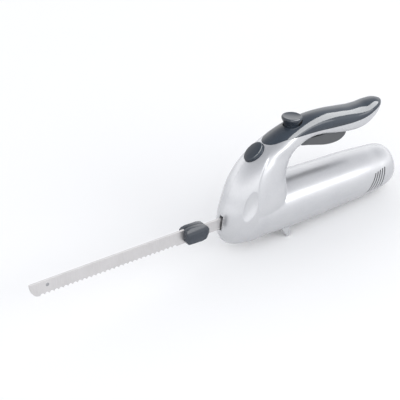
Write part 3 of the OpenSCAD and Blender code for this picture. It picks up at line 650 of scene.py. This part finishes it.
def makeHousing():
    outer = outerBody("outer", 0, housing["ring"])
    inner = outerBody("inner", -housing["wall"], housing["innerRing"])
    beneath = outerBody("beneath", -housing["seamDepth"], housing["innerRing"] * 2)
    for side in (-1, 1):
        combine(outer, foot(side), "UNION")
    cutters = [coverZone("coverZone", 0)]
    cutters += [fingerDish(side, 0) for side in (-1, 1)]
    for side in (-1, 1):
        cutter = makeVentCutter()
        cutters.append(placed(cutter, Matrix.Translation((vents["x"], side * vents["out"], vents["z"]))))
    half = controls["triggerHalf"] + housing["slotSide"]
    for start, end, top in (housing["slotFront"], housing["slotRear"]):
        cutters.append(slab("triggerSlot", (start, -half, housing["slotLow"]), (end, half, top)))
    cutters.append(slab("bladeSlot", *housing["bladeSlot"]))
    gap = housing["ovalGap"]
    cutters.append(seatedOval("oval", controls["releaseLong"] + gap, controls["releaseWide"] + gap,
                              *housing["ovalReach"]))
    cutters.append(placed(spun("bushHole", [(bush["hole"], 0), (bush["hole"], bush["deep"])]), bushFrame))
    cutters += [placed(spun("screwWell", [(screws["well"], 0), (screws["well"], screws["deep"])], 32),
                       Matrix.Translation((x, screws["sunk"], z)) @ Matrix.Rotation(-math.pi / 2, 4, "X"))
                for x, z in screws["at"]]
    # the wall stays behind the finger dishes
    for side in (-1, 1):
        combine(inner, fingerDish(side, dish["wall"]), "DIFFERENCE")
    shells = []
    x0, x1, z0, z1, out = housing["box"]
    for side, name in ((-1, "leftHousing"), (1, "rightHousing")):
        low, high = sorted((side * housing["seamGap"], side * out))
        shell = combine(duplicate(outer, name), slab("half", (x0, low, z0), (x1, high, z1)), "INTERSECT")
        low, high = sorted(side * y for y in housing["tongue"])
        rim = combine(duplicate(beneath, "rim"), slab("strip", (x0, low, z0), (x1, high, z1)), "INTERSECT")
        combine(shell, rim, "UNION")
        combine(shell, inner, "DIFFERENCE", True)
        for cutter in cutters:
            combine(shell, cutter, "DIFFERENCE", True)
        shaded(shell)
        shells.append(shell)
    for used in cutters + [outer, inner, beneath]:
        bpy.data.objects.remove(used)
    finished(shells[0], "housing", materials["satinSilverLacquer"], ["left_shell"])
    finished(shells[1], "housing", materials["satinSilverLacquer"], ["right_shell"])


makeHousing()
print("housing halves ready")


# handle cover with the well for the lock button
coverWell = [(9.4, -30), (9.4, -10.5), (9.7, -9.4), (10.7, -7.6), (11.6, -5.6), (11.9, -4), (11.9, 10)]


def makeCover():
    cover = columnSkin("handleCover", 0, housing["ring"])
    combine(cover, coverZone("zone", housing["coverGap"]), "INTERSECT")
    combine(cover, columnSkin("coverInner", -housing["wall"], housing["innerRing"]), "DIFFERENCE")
    combine(cover, placed(spun("well", coverWell), lockFrame), "DIFFERENCE")
    shaded(cover)
    return finished(cover, "housing", materials["polishedSlateAbs"], ["handle_cover"])


darkPieces = [makeCover()]
print("handle cover ready")


# buttons and trigger
def makeLockButton():
    r = controls["lockRadius"]
    drum, stem = controls["lockDrum"], controls["lockStem"]
    top = smoothLine([(0.01, -0.9), (3, -0.85), (6.5, -0.55), (r - 2.2, -0.08), (r - 1.2, 0),
                      (r - 0.5, -0.35), (r - 0.1, -1), (r, -1.7), (r - 0.25, -2.9), (r - 1.05, -4.7),
                      (r - 1.95, -6.7), (r - 2.65, -8.3)], 5)
    base = [(r - 2.65, -drum), (3.5, -drum), (3.5, -stem), (0.01, -stem)]
    button = spun("lockButton", top + base)
    placed(shaded(button, 40), lockFrame)
    return finished(button, "lock_button", materials["polishedSlateAbs"], ["lock_button"])


def makeReleaseButton():
    h, a, b = controls["releaseProud"], controls["releaseLong"], controls["releaseWide"]
    steps = [(0, -controls["releaseSkirt"]), (0, h - 2.3), (0.12, h - 1.7), (0.45, h - 1.15), (1, h - 0.75),
             (1.9, h - 0.5), (3.4, h - 0.3), (5.2, h - 0.14), (7, h - 0.04), (8.2, h)]
    rings = [[((a - inset) * math.cos(2 * math.pi * j / 96), (b - inset) * math.sin(2 * math.pi * j / 96), z)
              for j in range(96)] for inset, z in steps]
    button = placed(shaded(loft("releaseButton", rings)), releaseFrame)
    return finished(button, "release_button", materials["polishedSlateAbs"],
                    ["release_button"])


triggerLook = {
    "hub": [(106.8, 70), (106.8, 76.5), (105.4, 78), (100.6, 78), (99.2, 76.6), (98, 64)],
    "face": [[99, 61.4], [108, 59.2], [119, 56], [130, 53], [141, 51.7], [150, 52.6], [156, 55.6],
             [158.6, 59]],
    "back": [(158.6, 64), (112, 66.5)], "edge": 1.6, "edgeAngle": 50, "pin": 2.05}


def makeTrigger():
    half = controls["triggerHalf"]
    face = [tuple(p) for p in smoothLine(triggerLook["face"], 6)]
    outline = triggerLook["hub"] + face + triggerLook["back"]
    lever = prism("trigger", outline, -half, half)
    change = lever.modifiers.new("round", "BEVEL")
    change.width = triggerLook["edge"]
    change.segments = 4
    change.limit_method = "ANGLE"
    change.angle_limit = math.radians(triggerLook["edgeAngle"])
    settled(lever)
    pin = placed(spun("pinHole", [(triggerLook["pin"], -20), (triggerLook["pin"], 20)], 48),
                 Matrix.Translation((controls["pivot"][0], 0, controls["pivot"][1]))
                 @ Matrix.Rotation(math.pi / 2, 4, "X"))
    combine(lever, pin, "DIFFERENCE")
    shaded(lever, 25)
    lever.name = "triggerLever"
    finished(lever, "trigger", materials["texturedGreyAbs"], ["trigger"])


darkPieces += [makeLockButton(), makeReleaseButton()]
makeTrigger()
print("controls ready")

# blades with ground scallops
blade = {
    "reach": 236, "spine": 6.1, "tall": 16.3, "thick": 1.15, "gap": 0.1, "teeth": 30, "depth": 2.3, "tip": 12,
    "lastTooth": -58, "tangIn": 36, "tangLow": -8.2, "tangHigh": 4, "guardEnd": -42, "bevelHigh": 5.5,
    "edgeLeft": 0.12, "slotGap": 0.1,
    "rivetX": -215.5, "rivetZ": 0.8, "rivetRadius": 1.5, "slot": 19,
    "scallop": [[0, 0], [0.1, 0.45], [0.24, 0.85], [0.38, 1], [0.54, 0.9], [0.8, 0.45]]}


def makeToothCutter(firstX, pitch, edge):
    # scallops in a row along the cutting edge, drawn once and repeated
    sizes = {"Count": blade["teeth"], "Pitch": float(pitch), "Start": float(firstX)}
    outline = [(p[0] * pitch, edge + blade["depth"] * p[1])
               for p in smoothLine(blade["scallop"] + [[1, 0]], 3)]
    outline += [(pitch, edge - 4), (0, edge - 4)]
    single = prism("scallop", outline, -4, 4)
    tree = nodeTreeFor("toothRow", sizes)
    given = addNode(tree, "NodeGroupInput").outputs
    step = addNode(tree, "ShaderNodeCombineXYZ", inputs={"X": given["Pitch"]})
    start = addNode(tree, "ShaderNodeCombineXYZ", inputs={"X": given["Start"]})
    row = addNode(tree, "GeometryNodeMeshLine", {"mode": "OFFSET"}, {
        "Count": given["Count"], "Start Location": start.outputs["Vector"], "Offset": step.outputs["Vector"]})
    shape = addNode(tree, "GeometryNodeObjectInfo", inputs={"Object": single})
    copies = addNode(tree, "GeometryNodeInstanceOnPoints", inputs={
        "Points": row.outputs["Mesh"], "Instance": shape.outputs["Geometry"], "Scale": (0.999, 1, 1)})
    real = addNode(tree, "GeometryNodeRealizeInstances", inputs={"Geometry": copies.outputs["Instances"]})
    coated = addNode(tree, "GeometryNodeSetMaterial", inputs={
        "Geometry": real.outputs["Geometry"], "Material": materials["groundStainless"]})
    addNode(tree, "NodeGroupOutput", inputs={"Geometry": coated.outputs["Geometry"]})
    cutter = grown("toothCutter", tree, sizes)
    bpy.data.objects.remove(single)
    return cutter


def makeBlade(side, name):
    edge = blade["spine"] - blade["tall"]
    start = blade["tip"] - blade["reach"]
    pitch = (blade["lastTooth"] - start) / blade["teeth"]
    curve = [(start - blade["tip"] * math.cos(math.radians(a)),
              blade["spine"] - blade["tall"] * math.sin(math.radians(a))) for a in range(0, 91, 5)]
    outline = [(blade["guardEnd"], blade["spine"]),
               (blade["guardEnd"], blade["tangHigh"]), (blade["tangIn"] - 3, blade["tangHigh"]),
               (blade["tangIn"], blade["tangHigh"] - 3), (blade["tangIn"], blade["tangLow"] + 3),
               (blade["tangIn"] - 3, blade["tangLow"]), (blade["guardEnd"], blade["tangLow"]),
               (blade["guardEnd"], edge)]
    outline += curve[::-1]
    inner, outer = blade["gap"], blade["gap"] + blade["thick"]
    low, high = (inner, outer) if side > 0 else (-outer, -inner)
    made = prism(name, outline, low, high)
    # the edge is ground on the outer face only
    wedgePoints = [(edge - 1, inner + blade["edgeLeft"]), (edge + blade["bevelHigh"], outer),
                   (edge + blade["bevelHigh"], outer + 2), (edge - 1, outer + 2)]
    points = [(x, side * y, z) for x in (-250, blade["guardEnd"] - 2) for z, y in wedgePoints]
    wedge = outward(meshObject("wedge", points, [
        (0, 1, 2, 3), (7, 6, 5, 4), (0, 4, 5, 1), (1, 5, 6, 2), (2, 6, 7, 3), (3, 7, 4, 0)]))
    combine(made, wedge, "DIFFERENCE")
    combine(made, makeToothCutter(start, pitch, edge), "DIFFERENCE")
    hole = blade["rivetRadius"] + (blade["slotGap"] if side > 0 else 0)
    reach = (blade["slot"] / 2 - blade["rivetRadius"]) if side > 0 else 0
    ring = [(blade["rivetX"] + math.copysign(reach, math.cos(a)) + hole * math.cos(a),
             blade["rivetZ"] + hole * math.sin(a))
            for a in [2 * math.pi * (j + 0.5) / 32 for j in range(32)]]
    combine(made, prism("rivetHole", ring, -4, 4), "DIFFERENCE")
    shaded(made, 12)
    body = "right_blade_set" if side > 0 else "left_blade_set"
    finished(made, body, materials["groundStainless"],
             ["right_blade" if side > 0 else "left_blade"])


makeBlade(-1, "leftBlade")
makeBlade(1, "rightBlade")


def makeRivet():
    out = blade["gap"] + blade["thick"]
    head, r = blade["rivetRadius"] + 0.5, blade["rivetRadius"] - 0.02
    profile = [(0.01, -out - 0.5), (head * 0.6, -out - 0.44), (head * 0.9, -out - 0.25), (head, -out - 0.1),
               (r, -out - 0.1), (r, out), (head, out), (head * 0.9, out + 0.18), (head * 0.6, out + 0.32),
               (0.01, out + 0.35)]
    rivet = spun("tipRivet", profile, 48)
    placed(rivet, Matrix.Translation((blade["rivetX"], 0, blade["rivetZ"]))
           @ Matrix.Rotation(math.pi / 2, 4, "X"))
    finished(shaded(rivet, 30), "left_blade_set", materials["peenedSteel"], ["tip_rivet"])


makeRivet()
print("blades ready")

# thumb grip halves on the blades
grip = {
    "side": [[-50, -6], [-47.5, -9.8], [-30, -10.8], [-24, -9], [-20.8, -4], [-20.8, 0.6], [-23.6, 5],
             [-30, 7.2], [-44, 7.7], [-48.5, 6.4], [-50, 3.4]],
    "cross": [[0.3, 12], [3, 12], [6.7, 4.6], [8.2, 1.4], [8.2, -5], [6.6, -12], [0.3, -12]],
    "egg": [(-36, 0, 0), (19, 10.5, 20)], "edge": 0.7, "edgeAngle": 20,
    "gap": 0.1, "sideGap": 0.02}


def makeGrip(side, name):
    half = prism(name, [tuple(p) for p in grip["side"]], -20, 20)
    points = [(x, side * y, z) for x in (-60, -10) for y, z in grip["cross"]]
    count = len(grip["cross"])
    faces = [(j, (j + 1) % count, count + (j + 1) % count, count + j) for j in range(count)]
    faces += [tuple(range(count)), tuple(range(2 * count - 1, count - 1, -1))]
    cross = outward(meshObject("cross", points, faces))
    combine(half, cross, "INTERSECT")
    combine(half, ball("egg", *grip["egg"], 0), "INTERSECT")
    shape = bmesh.new()
    shape.from_mesh(half.data)
    bmesh.ops.remove_doubles(shape, verts=shape.verts, dist=0.02)
    bmesh.ops.dissolve_limit(shape, angle_limit=math.radians(1), verts=shape.verts, edges=shape.edges)
    shape.to_mesh(half.data)
    shape.free()
    change = half.modifiers.new("round", "BEVEL")
    change.width = grip["edge"]
    change.segments = 4
    change.limit_method = "ANGLE"
    change.angle_limit = math.radians(grip["edgeAngle"])
    settled(half)
    outer, gap = blade["gap"] + blade["thick"] + grip["sideGap"], grip["gap"]
    near, far = (0, outer) if side > 0 else (-outer, 0)
    edge = blade["spine"] - blade["tall"]
    for low, end, high in ((edge, blade["guardEnd"] + 0.2, blade["spine"]),
                           (blade["tangLow"], 0, blade["tangHigh"])):
        combine(half, slab("bladeRoom", (-60, near, low - gap), (end, far, high + gap)), "DIFFERENCE")
    shaded(half, 18)
    body = "right_blade_set" if side > 0 else "left_blade_set"
    finished(half, body, materials["glossyGreyAbs"],
             ["right_guard" if side > 0 else "left_guard"])


makeGrip(-1, "leftGrip")
makeGrip(1, "rightGrip")
print("grips ready")


# rubber bush where the cord goes in
def makeBush():
    made = placed(spunRing("cordBush", bush["profile"]), bushFrame)
    finished(shaded(made, 35), "housing", materials["mouldedRubber"], ["cord_inlet_bush"])


makeBush()


# five small moulded pips low on each side of the tail
pips = {"count": 5, "start": (147.5, 70.2), "step": (5.6, 0.35), "out": 15.45, "radius": 0.75}


def makePips(side, name):
    sizes = {"Count": pips["count"], "Step": float(pips["step"][0]), "Rise": float(pips["step"][1]),
             "Radius": float(pips["radius"])}
    tree = nodeTreeFor("pipRow", sizes)
    given = addNode(tree, "NodeGroupInput").outputs
    step = addNode(tree, "ShaderNodeCombineXYZ", inputs={"X": given["Step"], "Z": given["Rise"]})
    row = addNode(tree, "GeometryNodeMeshLine", {"mode": "OFFSET"},
                  {"Count": given["Count"], "Offset": step.outputs["Vector"]})
    dome = addNode(tree, "GeometryNodeMeshUVSphere", inputs={
        "Segments": 16, "Rings": 8, "Radius": given["Radius"]})
    copies = addNode(tree, "GeometryNodeInstanceOnPoints", inputs={
        "Points": row.outputs["Mesh"], "Instance": dome.outputs["Mesh"], "Scale": (1, 0.6, 1)})
    real = addNode(tree, "GeometryNodeRealizeInstances", inputs={"Geometry": copies.outputs["Instances"]})
    coated = addNode(tree, "GeometryNodeSetMaterial", inputs={
        "Geometry": real.outputs["Geometry"], "Material": materials["satinSilverLacquer"]})
    addNode(tree, "NodeGroupOutput", inputs={"Geometry": coated.outputs["Geometry"]})
    made = grown(name, tree, sizes)
    placed(made, Matrix.Translation((pips["start"][0], side * pips["out"], pips["start"][1])))
    finished(shaded(made, 60), "housing", materials["satinSilverLacquer"])


makePips(-1, "leftPips")
makePips(1, "rightPips")
print("small parts ready")

# floor and light
studio = {
    "floorSize": 8, "floor": "#FBFBFB", "floorShade": "#F6F6F6", "floorRough": 0.9, "floorShine": 0.1,
    "fibre": 900, "room": 2.0,
    "sky": [(0, "#CBCCCE"), (0.35, "#F4F4F5"), (0.7, "#B4B5B8"), (1, "#808286")],
    "lamps": [  # name, place, aimed at, width, height, watts, for the dark pieces alone
        ("sideSoftbox", (0.8, -1.5, 0.8), (0.08, 0, 0.05), 1.3, 0.55, 6, False),
        ("stripSoftbox", (0.82, -0.75, 1.15), (0.08, 0, 0.1), 2.4, 0.8, 62, True),
        ("noseSoftbox", (-0.55, -1.3, 1), (0.08, 0, 0.1), 1.1, 0.6, 20, True)]}


def makeFloor():
    size = studio["floorSize"] / 2
    corners = [(-size, -size, 0), (size, -size, 0), (size, size, 0), (-size, size, 0)]
    floor = meshObject("studioFloor", corners, [(0, 1, 2, 3)])
    material = bpy.data.materials.new("paperSweep")
    material.use_nodes = True
    tree = material.node_tree
    shader = tree.nodes["Principled BSDF"]
    shader.inputs["Roughness"].default_value = studio["floorRough"]
    shader.inputs["Specular IOR Level"].default_value = studio["floorShine"]
    place = addNode(tree, "ShaderNodeTexCoord")
    fibre = addNode(tree, "ShaderNodeTexNoise", inputs={
        "Vector": place.outputs["Object"], "Scale": studio["fibre"], "Detail": 2})
    tone = addNode(tree, "ShaderNodeMix", {"data_type": "RGBA"},
                   {0: fibre.outputs["Fac"], 6: linear(studio["floor"]), 7: linear(studio["floorShade"])})
    tree.links.new(tone.outputs[2], shader.inputs["Base Color"])
    floor.data.materials.append(material)


def makeLamp(name, place, target, wide, tall, watts, lit=()):
    data = bpy.data.lights.new(name, "AREA")
    data.shape = "RECTANGLE"
    data.size, data.size_y, data.energy = wide, tall, watts
    lamp = bpy.data.objects.new(name, data)
    bpy.context.scene.collection.objects.link(lamp)
    lamp.location = place
    lamp.rotation_euler = (Vector(target) - Vector(place)).to_track_quat("-Z", "Y").to_euler()
    if lit:
        # this lamp only reaches the pieces given
        group = bpy.data.collections.new(name + "Lit")
        for piece in lit:
            group.objects.link(piece)
        lamp.light_linking.receiver_collection = group


def makeWorld():
    world = bpy.data.worlds.new("studioRoom")
    world.use_nodes = True
    tree = world.node_tree
    place = addNode(tree, "ShaderNodeTexCoord")
    split = addNode(tree, "ShaderNodeSeparateXYZ", inputs={"Vector": place.outputs["Generated"]})
    ramp = addNode(tree, "ShaderNodeValToRGB", inputs={"Fac": split.outputs["Z"]})
    stops = ramp.color_ramp.elements
    stops[0].position, stops[0].color = 0.0, linear(studio["sky"][0][1])
    stops[1].position, stops[1].color = 1.0, linear(studio["sky"][-1][1])
    for height, tone in studio["sky"][1:-1]:
        stops.new(height).color = linear(tone)
    tree.links.new(ramp.outputs["Color"], tree.nodes["Background"].inputs["Color"])
    tree.nodes["Background"].inputs["Strength"].default_value = studio["room"]
    bpy.context.scene.world = world


makeFloor()
makeWorld()
for *lamp, darkOnly in studio["lamps"]:
    makeLamp(*lamp, darkPieces if darkOnly else ())
print("studio ready")
